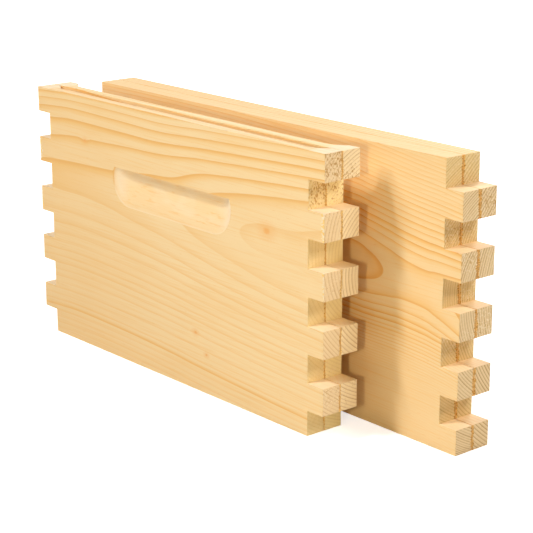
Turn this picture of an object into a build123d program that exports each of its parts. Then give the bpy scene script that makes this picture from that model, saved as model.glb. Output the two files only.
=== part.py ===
"""Knocked-down deep hive body: four loose pine boards standing on edge in two pairs.

The two end boards stand in front, the two side boards behind them. Both ends of
every board are cut into fingers that interlock with the next board of the box.
+X runs along the boards, +Y from the front board to the rear one and +Z up. The
origin is at the bottom centre of the whole stack. All sizes are in millimetres.
"""

import os
from math import sqrt

from build123d import *

# Boards
board_thickness = 19.05
board_height = 244.475
end_board_length = 412.75
side_board_length = 504.825

# Box joint. Counted down from the top edge, the odd fingers belong to the end
# boards and the even ones to the side boards.
top_finger_height = 24.1
finger_pitch = 24.74
least_bottom_finger = 12.0
joint_clearance = 0.3

# Frame rest: a rabbet in the inner top edge of each end board
rabbet_width = 9.525
rabbet_depth = 15.875
rabbet_cutter_radius = 25.0
rabbet_end_margin = 12.5

# Hand-hold: a dish scooped in the outer face under a flat ledge
scoop_radius = 39.0
scoop_depth = 9.0
scoop_travel = 122.0
scoop_off_centre = 1.9
ledge_above_scoop_centre = 10.0
ledge_below_top_edge = 58.9

# How the boards stand
end_pair_gap = 0.5
side_pair_gap = 0.6
gap_between_pairs = 23.36

# Fingers are as deep as the board that they meet is thick.
finger_depth = board_thickness
room_for_fingers = board_height - top_finger_height - least_bottom_finger
finger_lines = [
    board_height - top_finger_height - step * finger_pitch
    for step in range(1 + int(room_for_fingers // finger_pitch))
]

# The rabbet's cutter runs outside the board and leaves a lip of full height.
lip_thickness = board_thickness - rabbet_width
rabbet_run_out = sqrt(rabbet_cutter_radius**2 - (rabbet_cutter_radius - rabbet_width) ** 2)
rabbet_cutter_travel = end_board_length - 2 * (rabbet_end_margin + rabbet_run_out)

# Outer face of each board, from the front of the stack to its rear
stack_depth = 4 * board_thickness + end_pair_gap + gap_between_pairs + side_pair_gap
front_end_face = -stack_depth / 2
rear_end_face = front_end_face + board_thickness + end_pair_gap
front_side_face = rear_end_face + board_thickness + gap_between_pairs
rear_side_face = front_side_face + board_thickness + side_pair_gap

# The left ends of all four boards stand flush.
side_board_centre = 0.0
end_board_centre = side_board_centre + (end_board_length - side_board_length) / 2


def notch_spans(first_notch):
    """Low and high edge of every second step of the joint, from step first_notch down.

    Step 0 is the top finger's. A notch in the top or bottom edge runs out past it.
    """
    lines = [board_height + finger_depth, *finger_lines, -finger_depth]
    for high, low in zip(lines[first_notch::2], lines[first_notch + 1 :: 2]):
        yield low - joint_clearance / 2, high + joint_clearance / 2


def draw_notched_board(centre, length, first_notch):
    """Draw a board's face into the active sketch, with its notches at both ends."""
    with Locations((centre, 0)):
        Rectangle(length, board_height, align=(Align.CENTER, Align.MIN))
    for low, high in notch_spans(first_notch):
        with Locations((centre - length / 2, low)):
            Rectangle(finger_depth, high - low, align=Align.MIN, mode=Mode.SUBTRACT)
        with Locations((centre + length / 2, low)):
            Rectangle(finger_depth, high - low, align=(Align.MAX, Align.MIN), mode=Mode.SUBTRACT)


def hand_hold_sweep(face, centre):
    """Solid that the hand-hold's cutter sweeps, for a board with its outer face at y = face.

    A ball-nosed cutter plunges in and travels along the board. A fence over its
    path leaves the flat ledge that the fingers pull on.
    """
    ledge_height = board_height - ledge_below_top_edge
    cutter_plane = Plane(
        origin=(
            centre + scoop_off_centre,
            face - (scoop_radius - scoop_depth),
            ledge_height - ledge_above_scoop_centre,
        )
    )
    half_travel = scoop_travel / 2
    with BuildPart() as sweep_solid:
        with BuildSketch(cutter_plane):
            with BuildLine():
                CenterArc((half_travel, 0), scoop_radius, 0, 90)
                Line((half_travel, scoop_radius), (-half_travel, scoop_radius))
                CenterArc((-half_travel, 0), scoop_radius, 90, 90)
                Line((-half_travel - scoop_radius, 0), (half_travel + scoop_radius, 0))
            make_face()
        revolve(axis=Axis(cutter_plane.origin, cutter_plane.x_dir))
        split(bisect_by=Plane.XY.offset(ledge_height), keep=Keep.BOTTOM)
    return sweep_solid.part


os.makedirs("parts", exist_ok=True)

# End boards, with the frame rest along their inner top edge
for name, face in (("front_end_board", front_end_face), ("rear_end_board", rear_end_face)):
    hand_hold = hand_hold_sweep(face, end_board_centre)
    with BuildPart() as end_board:
        with BuildSketch(Plane.XZ.offset(-face)):
            draw_notched_board(end_board_centre, end_board_length, first_notch=1)
        extrude(amount=-board_thickness)
        with BuildSketch(Plane.XY.offset(board_height)):
            with Locations((end_board_centre, face + lip_thickness + rabbet_cutter_radius)):
                SlotCenterToCenter(rabbet_cutter_travel, 2 * rabbet_cutter_radius)
        extrude(amount=-rabbet_depth, mode=Mode.SUBTRACT)
        add(hand_hold, mode=Mode.SUBTRACT)
    end_board.part.label = name
    export_step(end_board.part, f"parts/{name}.step")

# Side boards, with a straight top edge between their corner notches
for name, face in (("front_side_board", front_side_face), ("rear_side_board", rear_side_face)):
    hand_hold = hand_hold_sweep(face, side_board_centre)
    with BuildPart() as side_board:
        with BuildSketch(Plane.XZ.offset(-face)):
            draw_notched_board(side_board_centre, side_board_length, first_notch=0)
        extrude(amount=-board_thickness)
        add(hand_hold, mode=Mode.SUBTRACT)
    side_board.part.label = name
    export_step(side_board.part, f"parts/{name}.step")
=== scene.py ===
"""Knocked-down deep hive body: two end boards and two side boards of bare planed pine.

Every board is skinned over a lattice of stations in its own sizes, so its box-joint
fingers, frame rest and hand-hold are real surfaces with eased arrises. The wood is one
solid per board: growth rings run round a wandering pith behind the face, so the figure
on a face carries on over the edges into the end grain.
"""

from __future__ import annotations

import sys
import logging
import math
from dataclasses import dataclass, field
from enum import Enum
from typing import Iterator, Sequence, Union

import bmesh
import bpy
import numpy as np
from mathutils import Matrix, Vector, kdtree, noise


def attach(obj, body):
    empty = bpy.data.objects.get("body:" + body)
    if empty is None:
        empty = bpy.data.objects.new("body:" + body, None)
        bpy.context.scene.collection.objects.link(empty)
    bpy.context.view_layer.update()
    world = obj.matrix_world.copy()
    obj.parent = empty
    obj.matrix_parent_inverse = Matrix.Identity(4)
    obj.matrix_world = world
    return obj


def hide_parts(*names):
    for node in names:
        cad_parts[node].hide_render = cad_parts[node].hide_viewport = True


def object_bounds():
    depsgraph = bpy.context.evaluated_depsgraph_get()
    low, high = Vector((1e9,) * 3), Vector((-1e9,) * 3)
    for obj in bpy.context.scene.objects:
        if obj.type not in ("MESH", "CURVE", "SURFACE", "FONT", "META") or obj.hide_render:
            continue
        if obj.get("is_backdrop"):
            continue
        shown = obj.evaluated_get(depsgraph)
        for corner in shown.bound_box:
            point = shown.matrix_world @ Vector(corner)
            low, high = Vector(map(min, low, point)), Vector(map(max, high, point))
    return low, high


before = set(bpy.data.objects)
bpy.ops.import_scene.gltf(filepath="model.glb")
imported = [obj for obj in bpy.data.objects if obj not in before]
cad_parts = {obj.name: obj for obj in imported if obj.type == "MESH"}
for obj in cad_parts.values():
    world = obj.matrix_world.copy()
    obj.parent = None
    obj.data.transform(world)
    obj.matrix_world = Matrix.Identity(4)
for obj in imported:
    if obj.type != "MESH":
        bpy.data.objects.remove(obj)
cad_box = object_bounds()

log = logging.getLogger("hive_body")

MM = 0.001

Colour = tuple[float, float, float]
Spot = tuple[float, float]
Node = bpy.types.Node
Socket = bpy.types.NodeSocket
Tree = bpy.types.NodeTree
Feed = Union[Socket, float, Sequence[float]]


def paint(red: int, green: int, blue: int) -> Colour:
    """Turn a colour as the eye reads it, 0 to 255, into the linear one that shaders use.

    Args:
        red: Red, 0 to 255.
        green: Green, 0 to 255.
        blue: Blue, 0 to 255.

    Returns:
        The linear red, green and blue, by the sRGB curve.
    """
    shares = (channel / 255 for channel in (red, green, blue))
    return tuple(s / 12.92 if s <= 0.04045 else ((s + 0.055) / 1.055) ** 2.4 for s in shares)


def stand(name: str, data: bpy.types.ID) -> bpy.types.Object:
    """Put a mesh, a lamp or a camera into the scene.

    Args:
        name: Name of the object.
        data: What it shows.

    Returns:
        The object.
    """
    made = bpy.data.objects.new(name, data)
    bpy.context.scene.collection.objects.link(made)
    return made


# ---------------------------------------------------------------- shader bench


class Bench:
    """Lays shader nodes into one tree and wires them.

    Attributes:
        column: Step from one node to the next in the node editor.
        row: Step from one row of nodes to the next.
        row_length: Nodes in a row.
        least_reach: Smallest spread of results that a course is drawn over.
    """

    column = 180
    row = -260
    row_length = 12
    least_reach = 1e-6

    def __init__(self, tree: Tree) -> None:
        """Start on a tree.

        Args:
            tree: Tree of a material, a world or a node group.
        """
        self.tree = tree
        self.laid = 0

    def node(self, kind: str, **settings: object) -> Node:
        """Add a node.

        Args:
            kind: The node's type name.
            settings: Properties to set on it.

        Returns:
            The new node.
        """
        made = self.tree.nodes.new(kind)
        row, place = divmod(self.laid, self.row_length)
        made.location = (self.column * place, self.row * row)
        self.laid += 1
        for name, value in settings.items():
            setattr(made, name, value)
        return made

    def feed(self, socket: Socket, value: Feed) -> None:
        """Link a socket to an output, or set its own number, vector or colour.

        Args:
            socket: Input to feed.
            value: An output socket, a number, or a sequence of numbers.
        """
        if isinstance(value, Socket):
            self.tree.links.new(value, socket)
        elif isinstance(value, (int, float)):
            socket.default_value = value
        else:
            size = len(socket.default_value)
            socket.default_value = (*value, 1.0)[:size]

    def fill(self, made: Node, *values: Feed | None) -> Node:
        """Feed a node's inputs in their order.

        Args:
            made: The node.
            values: Its inputs. None leaves an input as it is.

        Returns:
            The node.
        """
        for socket, value in zip(made.inputs, values):
            if value is not None:
                self.feed(socket, value)
        return made

    def wire(self, made: Node, **values: Feed) -> Node:
        """Feed a node's inputs by name.

        Args:
            made: The node.
            values: Its inputs, with underscores for the spaces in their names.

        Returns:
            The node.
        """
        for name, value in values.items():
            self.feed(made.inputs[name.replace("_", " ")], value)
        return made

    def math(self, operation: str, *values: Feed, clamp: bool = False) -> Socket:
        """Add a Math node.

        Args:
            operation: Its operation.
            values: Its inputs.
            clamp: Keep the result between 0 and 1.

        Returns:
            The result.
        """
        made = self.node("ShaderNodeMath", operation=operation, use_clamp=clamp)
        return self.fill(made, *values).outputs[0]

    def vector(self, operation: str, *values: Feed) -> Socket:
        """Add a Vector Math node with a vector result.

        Args:
            operation: Its operation.
            values: Its inputs.

        Returns:
            The resulting vector.
        """
        made = self.node("ShaderNodeVectorMath", operation=operation)
        return self.fill(made, *values).outputs["Vector"]

    def length(self, vector: Feed) -> Socket:
        """Measure a vector's length."""
        made = self.node("ShaderNodeVectorMath", operation="LENGTH")
        return self.fill(made, vector).outputs["Value"]

    def split(self, vector: Feed) -> tuple[Socket, ...]:
        """Give a vector's X, Y and Z."""
        return tuple(self.fill(self.node("ShaderNodeSeparateXYZ"), vector).outputs)

    def join(self, x: Feed, y: Feed, z: Feed) -> Socket:
        """Make a vector of three parts."""
        return self.fill(self.node("ShaderNodeCombineXYZ"), x, y, z).outputs[0]

    def times(self, value: Feed, factor: Feed, clamp: bool = False) -> Socket:
        """Multiply two numbers."""
        return self.math("MULTIPLY", value, factor, clamp=clamp)

    def plus(self, value: Feed, factor: Feed, base: Feed, clamp: bool = False) -> Socket:
        """Multiply a number by a factor and add the result to a base."""
        return self.math("MULTIPLY_ADD", value, factor, base, clamp=clamp)

    def between(self, share: Feed, low: float, high: float) -> Socket:
        """Go in a straight line from low to high as a share goes from 0 to 1."""
        return self.plus(share, high - low, low)

    def distance(self, across: Feed, up: Feed) -> Socket:
        """Measure how long the slope of two square distances is."""
        return self.math("SQRT", self.plus(across, across, self.times(up, up)))

    def ease(self, value: Feed, start: Feed, end: Feed, low: Feed = 0.0, high: Feed = 1.0) -> Socket:
        """Turn a value smoothly from low to high as it goes from start to end.

        Args:
            value: Value to map.
            start: Where the change begins.
            end: Where it ends.
            low: Result up to start.
            high: Result from end on.

        Returns:
            The mapped value.
        """
        made = self.node("ShaderNodeMapRange", interpolation_type="SMOOTHSTEP")
        return self.fill(made, value, start, end, low, high).outputs[0]

    def fade(self, value: Feed, start: Feed, end: Feed) -> Socket:
        """Fall smoothly from 1 to 0 as a value goes from start to end."""
        return self.ease(value, start, end, 1.0, 0.0)

    def blend(self, factor: Feed, under: Feed, over: Feed) -> Socket:
        """Mix two colours.

        Args:
            factor: Share of the second.
            under: First colour.
            over: Second colour.

        Returns:
            The mixed colour.
        """
        made = self.node("ShaderNodeMix", data_type="RGBA", clamp_factor=True)
        colour_inputs, colour_output = (0, 6, 7), 2
        for place, value in zip(colour_inputs, (factor, under, over)):
            self.feed(made.inputs[place], value)
        return made.outputs[colour_output]

    def stain(self, wood: Feed, mask: Feed, share: Feed, colour: Feed) -> Socket:
        """Lay a colour over the wood where a mask shows it.

        Args:
            wood: Colour so far.
            mask: Where the new colour goes, 0 to 1.
            share: How much of it shows where the mask is 1.
            colour: The new colour.

        Returns:
            The mixed colour.
        """
        return self.blend(self.times(mask, share), wood, colour)

    def cloud(self, place: Feed, detail: float = 2.0, rough: float = 0.5) -> Socket:
        """Add soft noise of about one cell per unit of place.

        Args:
            place: Vector to read it at.
            detail: Octaves.
            rough: Strength of the finer octaves.

        Returns:
            The noise, mostly 0.3 to 0.7.
        """
        made = self.node("ShaderNodeTexNoise")
        self.wire(made, Vector=place, Scale=1.0, Detail=detail, Roughness=rough)
        return made.outputs["Fac"]

    def grain(self, place: Feed, scale: Sequence[float], detail: float = 2.0, rough: float = 0.5,
              offset: Feed | None = None) -> Socket:
        """Add soft noise that is drawn out by a scale in each direction.

        Args:
            place: Vector to read it at.
            scale: Cells per unit along, through and up.
            detail: Octaves.
            rough: Strength of the finer octaves.
            offset: Shift of the cells, if any.

        Returns:
            The noise.
        """
        scaled = self.vector("MULTIPLY", place, scale)
        if offset is not None:
            scaled = self.vector("ADD", scaled, offset)
        return self.cloud(scaled, detail, rough)

    def lottery(self, number: Feed) -> Socket:
        """Draw a repeatable share from 0 to 1 for a whole number."""
        made = self.node("ShaderNodeTexWhiteNoise", noise_dimensions="1D")
        return self.wire(made, W=number).outputs["Value"]

    def course(self, value: Feed, points: Sequence[Spot]) -> Socket:
        """Draw a smooth course through a few points.

        Args:
            value: Value to read the course at.
            points: Pairs of value and result, in rising order of value.

        Returns:
            The course's result at that value.
        """
        low_in, high_in = points[0][0], points[-1][0]
        results = [result for _, result in points]
        low_out = min(results)
        reach = max(max(results) - low_out, self.least_reach)
        share = self.fill(self.node("ShaderNodeMapRange"), value, low_in, high_in, 0.0, 1.0)
        made = self.node("ShaderNodeFloatCurve")
        line = made.mapping.curves[0]
        shares = [((x - low_in) / (high_in - low_in), (y - low_out) / reach) for x, y in points]
        line.points[0].location = shares[0]
        line.points[-1].location = shares[-1]
        for spot in shares[1:-1]:
            line.points.new(*spot)
        made.mapping.update()
        self.feed(made.inputs["Value"], share.outputs[0])
        return self.plus(made.outputs[0], reach, low_out)

    def stored(self, name: str) -> Socket:
        """Read a number that the mesh stores at its vertices."""
        made = self.node("ShaderNodeAttribute", attribute_type="GEOMETRY", attribute_name=name)
        return made.outputs["Fac"]

    def effect(self, group: Tree, **values: Feed) -> Node:
        """Place a node group with its own values, given as to wire()."""
        return self.wire(self.node("ShaderNodeGroup", node_tree=group), **values)

    def backdrop_mask(self) -> Socket:
        """Tell rays that show a surface from rays that only light others.

        Returns:
            1 where it is seen directly, in a mirror or through glass, and 0 elsewhere.
        """
        path = self.node("ShaderNodeLightPath").outputs
        seen = self.math("MAXIMUM", path["Is Camera Ray"], path["Is Glossy Ray"])
        return self.math("MAXIMUM", seen, path["Is Transmission Ray"])

    def finish(self, shader: Node, kind: str = "ShaderNodeOutputMaterial") -> None:
        """Wire the last shader to the tree's output."""
        self.wire(self.node(kind), Surface=shader.outputs[0])


def empty_tree(owner: bpy.types.Material | bpy.types.World) -> Tree:
    """Empty the node tree of a material or a world.

    Args:
        owner: The material or the world.

    Returns:
        Its tree.
    """
    owner.use_nodes = True
    owner.node_tree.nodes.clear()
    return owner.node_tree


class Kind(Enum):
    """What a group's socket carries."""

    NUMBER = "NodeSocketFloat"
    VECTOR = "NodeSocketVector"


class Effect:
    """A shader node group under construction."""

    def __init__(self, name: str, takes: Sequence[str], gives: Sequence[str],
                 vectors: Sequence[str] = ("Place",)) -> None:
        """Make the group with its sockets.

        Args:
            name: The group's name.
            takes: Names of its inputs.
            gives: Names of its outputs, all numbers.
            vectors: Those inputs that carry vectors. The others carry numbers.
        """
        self.group = bpy.data.node_groups.new(name, "ShaderNodeTree")
        for label in takes:
            kind = Kind.VECTOR if label in vectors else Kind.NUMBER
            self.group.interface.new_socket(label, in_out="INPUT", socket_type=kind.value)
        for label in gives:
            self.group.interface.new_socket(label, in_out="OUTPUT", socket_type=Kind.NUMBER.value)
        self.bench = Bench(self.group)
        self.takes = self.bench.node("NodeGroupInput").outputs
        self.gives = self.bench.node("NodeGroupOutput").inputs

    def give(self, **values: Feed) -> Tree:
        """Wire the group's outputs.

        Args:
            values: Its outputs, with underscores for the spaces in their names.

        Returns:
            The finished group.
        """
        for name, value in values.items():
            self.bench.feed(self.gives[name.replace("_", " ")], value)
        return self.group


def pith_radius_effect() -> Tree:
    """Build the effect that measures how far a point lies from the tree's pith.

    Returns:
        The group. Radius is in millimetres, Side runs from -1 below the pith to 1 above.
    """
    made = Effect("pith_radius", ("Place", "Pith Depth", "Pith Height", "Wander", "Swell", "Seed"),
                  ("Radius", "Side"))
    b, t = made.bench, made.takes
    quick_share = 0.22
    middle = 0.61
    _, y, z = b.split(t["Place"])
    above = b.math("SUBTRACT", z, t["Pith Height"])
    reach = b.distance(b.math("SUBTRACT", t["Pith Depth"], y), above)
    offset = b.join(t["Seed"], 0.0, 0.0)
    slow = b.grain(t["Place"], (0.007, 0.022, 0.022), detail=1.0, offset=offset)
    quick = b.grain(t["Place"], (0.03, 0.12, 0.12), detail=1.0, offset=offset)
    bend = b.math("SUBTRACT", b.plus(quick, quick_share, slow), middle)
    moved = b.plus(bend, t["Wander"], reach)
    return made.give(Radius=b.math("ADD", moved, t["Swell"]), Side=b.math("DIVIDE", above, reach))


def growth_ring_effect() -> Tree:
    """Build the effect that turns a ring count into early and late wood.

    Returns:
        The group. Wash deepens towards a ring's outer edge and Latewood is its last, hard line.
    """
    made = Effect("growth_rings", ("Ring Count", "Seed", "Line Share"), ("Latewood", "Wash"))
    b, t = made.bench, made.takes
    second_draw = 91.7
    line_base = 0.97
    line_crest = 0.96
    ring_end = 0.965
    wash_power = 1.4
    number = b.math("FLOOR", t["Ring Count"])
    part = b.math("SUBTRACT", t["Ring Count"], number)
    draw = b.lottery(b.math("ADD", number, t["Seed"]))
    other = b.lottery(b.math("ADD", number, b.math("ADD", t["Seed"], second_draw)))
    strength = b.between(draw, 0.45, 1.15)
    share = b.times(t["Line Share"], b.between(other, 0.7, 1.5))
    line = b.ease(part, b.math("SUBTRACT", line_base, share), line_crest)
    wash = b.math("POWER", b.ease(part, b.between(other, 0.42, 0.07), 1.0), wash_power)
    past = b.fade(part, ring_end, 1.0)
    return made.give(Latewood=b.times(b.times(line, past), strength),
                     Wash=b.times(b.times(wash, past), strength))


def fibre_effect() -> Tree:
    """Build the effect for the fine straight fibres that run along a board.

    Returns:
        The group. Streak is a tone about 0.5, Pore marks short resin canals and Height is
        the fibres' relief about 0.
    """
    made = Effect("fibres", ("Place", "Fineness", "Seed"), ("Streak", "Pore", "Height"))
    b, t = made.bench, made.takes
    along_scale = 0.013
    middle = 0.5
    x, y, z = b.split(t["Place"])
    along = b.times(b.math("ADD", x, t["Seed"]), along_scale)
    fine = b.join(along, b.times(y, t["Fineness"]), b.times(z, t["Fineness"]))
    streak = b.cloud(fine, detail=4.0, rough=0.62)
    canals = b.node("ShaderNodeTexVoronoi", feature="F1")
    b.wire(canals, Vector=b.vector("MULTIPLY", t["Place"], (0.07, 0.42, 0.42)), Scale=1.0)
    dash = b.fade(canals.outputs["Distance"], 0.10, 0.17)
    some = b.ease(b.lottery(b.split(canals.outputs["Color"])[0]), 0.55, 0.75)
    return made.give(Streak=streak, Pore=b.times(dash, some),
                     Height=b.math("SUBTRACT", streak, middle))


def torn_grain_effect() -> Tree:
    """Build the effect for sawn end grain: torn fibres, rays and the blade's marks.

    Returns:
        The group. Torn, Fleck and Ray are masks, Height is in millimetres.
    """
    made = Effect("torn_grain", ("Place", "Amount", "Radius", "Side", "Seed"),
                  ("Torn", "Fleck", "Ray", "Height"))
    b, t = made.bench, made.takes
    patch_share = 0.35
    tear_bar = 0.9
    bar_drop = 0.125
    bar_width = 0.09
    rays_round = 190.0
    rays_out = 0.05
    torn_depth = -0.06
    pit_height = 0.12
    saw_height = 0.05
    offset = b.join(0.0, t["Seed"], 0.0)
    patch = b.grain(t["Place"], (0.05, 0.10, 0.12), offset=offset)
    pit = b.grain(t["Place"], (0.2, 0.7, 0.46), detail=3.0, rough=0.6, offset=offset)
    lean = b.plus(patch, patch_share, pit)
    bar = b.math("SUBTRACT", tear_bar, b.times(t["Amount"], bar_drop))
    torn = b.ease(lean, bar, b.math("ADD", bar, bar_width))
    lifted = b.grain(t["Place"], (0.3, 0.85, 0.6), rough=0.6)
    fleck = b.times(b.ease(lifted, 0.54, 0.64), b.math("MINIMUM", t["Amount"], 1.0))
    ray = b.cloud(b.join(b.times(t["Side"], rays_round), b.times(t["Radius"], rays_out), 0.0))
    saw = b.grain(t["Place"], (0.1, 0.12, 1.5), rough=0.6)
    depth = b.plus(torn, torn_depth, b.times(pit, pit_height))
    return made.give(Torn=torn, Fleck=fleck, Ray=b.ease(ray, 0.48, 0.68),
                     Height=b.plus(saw, saw_height, depth))


def pin_knot_effect() -> Tree:
    """Build the effect for a small branch that runs out through the face.

    Returns:
        The group. Core and Halo are masks, Swell is how far rings bow round it.
    """
    made = Effect("pin_knot", ("Place", "Centre", "Size", "Bow"), ("Core", "Halo", "Swell"),
                  vectors=("Place", "Centre"))
    b, t = made.bench, made.takes
    squash = (0.7, 0.12, 1.0)
    bow_reach = 5.5
    away = b.vector("MULTIPLY", b.vector("SUBTRACT", t["Place"], t["Centre"]), squash)
    ragged = b.grain(t["Place"], (0.5, 0.1, 0.6))
    ratio = b.math("DIVIDE", b.length(away), t["Size"])
    ratio = b.times(ratio, b.between(ragged, 0.6, 1.4))
    return made.give(Core=b.fade(ratio, 0.35, 1.0), Halo=b.fade(ratio, 0.6, 3.4),
                     Swell=b.times(b.fade(ratio, 0.0, bow_reach), t["Bow"]))


def worn_arris_effect() -> Tree:
    """Build the effect for the bruised and darkened corners of a handled board.

    Returns:
        The group. Worn is a mask along the arrises.
    """
    made = Effect("worn_arris", ("Place", "Width"), ("Worn",))
    b, t = made.bench, made.takes
    ragged = b.grain(t["Place"], (0.35, 0.8, 0.35), detail=3.0, rough=0.6)
    width = b.times(t["Width"], b.between(ragged, -0.4, 2.0))
    return made.give(Worn=b.fade(b.stored("from_arris"), 0.0, width))


def frayed_edge_effect() -> Tree:
    """Build the effect for a ragged band of torn and splintered fibres along a saw cut's edge.

    Returns:
        The group. Frayed and Splinter are the dark and the pale fibres of one ragged band.
    """
    made = Effect("frayed_edge", ("Place", "Away", "Width", "Fineness"), ("Frayed", "Splinter"))
    b, t = made.bench, made.takes
    rough_scale = 0.12
    quick_share = 3.0
    slow_share = 2.2
    drawn_back = -1.75
    least_reach = 0.02
    full_band = 0.7
    x, y, z = b.split(t["Place"])
    slow = b.grain(t["Place"], (0.05, 0.05, 0.13), detail=1.0)
    rough = b.join(b.times(x, rough_scale), b.times(y, rough_scale), b.times(z, t["Fineness"]))
    quick = b.cloud(rough, detail=3.0, rough=0.65)
    reach = b.plus(quick, quick_share, b.plus(slow, slow_share, drawn_back))
    reach = b.math("MAXIMUM", b.times(reach, t["Width"]), least_reach)
    torn = b.fade(b.math("DIVIDE", t["Away"], reach), full_band, 1.0)
    pale = b.vector("MULTIPLY_ADD", rough, (1.4, 2.0, 1.4), (7.0, 3.0, 5.0))
    split = b.ease(b.cloud(pale, rough=0.6), 0.46, 0.54)
    return made.give(Frayed=b.times(torn, b.math("SUBTRACT", 1.0, split)),
                     Splinter=b.times(torn, split))


def cutter_marks_effect() -> Tree:
    """Build the effect for a ball-nosed cutter's dish: its marks, and where its painted light and shade
    go.

    Returns:
        The group. Inside is 1 in the dish, Ripple runs from 0 to 1 across each pass, Rim is
        a thin line round the dish for a painted highlight, Run Out is its two ends, which are
        painted paler, and Scorch is its left rim, for a painted shade line.
    """
    made = Effect("cutter_marks", ("Place", "Middle", "Half Travel", "Reach", "Ledge", "Pitch"),
                  ("Inside", "Ripple", "Rim", "Run Out", "Scorch"), vectors=("Place", "Middle"))
    b, t = made.bench, made.takes
    drift_turns = 9.0
    half = 0.5
    ledge_ease = 0.5
    left_shade_start = -14.0
    left_shade_ease = 6.0
    inside = b.stored("dished")
    along, depth, rise = b.split(b.vector("SUBTRACT", t["Place"], t["Middle"]))
    past = b.math("SUBTRACT", b.math("ABSOLUTE", along), t["Half Travel"])
    past = b.math("MAXIMUM", past, 0.0)
    reach = b.distance(past, rise)
    drift = b.grain(t["Place"], (0.02, 0.05, 0.05), detail=1.0)
    turn = b.plus(drift, drift_turns, b.math("DIVIDE", reach, t["Pitch"]))
    wave = b.math("SINE", b.times(turn, 2 * math.pi))
    beyond = b.math("SUBTRACT", reach, t["Reach"])
    # Painted highlight: a thin line just inside the dish's outline, kept off the ledge and the shallow
    # edge.
    rim = b.times(b.ease(beyond, -1.3, -0.4), b.fade(beyond, 0.1, 0.5))
    rim = b.times(rim, b.fade(rise, b.math("SUBTRACT", t["Ledge"], ledge_ease), t["Ledge"]))
    rim = b.times(rim, b.fade(depth, 1.2, 2.0))
    # Painted shade: on the left rim that line turns into a dark line.
    left = b.math("SUBTRACT", left_shade_start, t["Half Travel"])
    left = b.ease(along, left, b.math("SUBTRACT", left, left_shade_ease))
    left = b.times(left, b.ease(rise, -12.0, -4.0))
    return made.give(Inside=inside, Ripple=b.plus(wave, half, half),
                     Rim=b.times(rim, b.math("SUBTRACT", 1.0, left)),
                     Run_Out=b.times(b.ease(past, 4.0, 22.0), inside),
                     Scorch=b.times(rim, left))


def grain_swelling_effect() -> Tree:
    """Build the effect for a place where the rings bow out round a hidden branch.

    Returns:
        The group. Swell is how far the rings move there, in millimetres.
    """
    made = Effect("grain_swelling", ("Place", "Middle", "Length", "Width", "Amount"), ("Swell",),
                  vectors=("Place", "Middle"))
    b, t = made.bench, made.takes
    along, _, rise = b.split(b.vector("SUBTRACT", t["Place"], t["Middle"]))
    reach = b.distance(b.math("DIVIDE", along, t["Length"]), b.math("DIVIDE", rise, t["Width"]))
    return made.give(Swell=b.times(b.fade(reach, 0.0, 1.0), t["Amount"]))


def shared_effects() -> dict[str, Tree]:
    """Build every effect once.

    Returns:
        The node groups by name.
    """
    groups = (
        pith_radius_effect(), growth_ring_effect(), fibre_effect(), torn_grain_effect(),
        pin_knot_effect(), worn_arris_effect(), frayed_edge_effect(), cutter_marks_effect(),
        grain_swelling_effect(),
    )
    return {group.name: group for group in groups}


# ---------------------------------------------------------------- finishes


@dataclass(frozen=True)
class PinKnot:
    """A small branch that comes out through a board's face, in millimetres.

    Attributes:
        from_left: How far it lies from the board's left end.
        height: How high it lies.
        size: Radius of its core up the board.
        bow: How far the rings bow out round it.
    """

    from_left: float
    height: float
    size: float
    bow: float


@dataclass(frozen=True)
class Swelling:
    """A place where the rings bow out without a knot on the face, in millimetres.

    Attributes:
        from_left: How far its middle lies from the board's left end.
        height: How high its middle lies.
        length: How far it reaches along the board.
        width: How far it reaches up and down.
        amount: How far the rings move in its middle.
    """

    from_left: float
    height: float
    length: float
    width: float
    amount: float


@dataclass(frozen=True)
class Dish:
    """Where a hand-hold's cutter went, for its marks, in millimetres.

    Attributes:
        from_left: How far the dish's middle lies from the board's left end.
        height: Height of the cutter's line.
        half_travel: Half the cutter's travel along the board.
        reach: Radius of the dish's outline.
        ledge: Height of the ledge above the cutter's line.
        pitch: Distance between the cutter's ripples.
    """

    from_left: float
    height: float
    half_travel: float
    reach: float
    ledge: float
    pitch: float = 1.7


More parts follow.
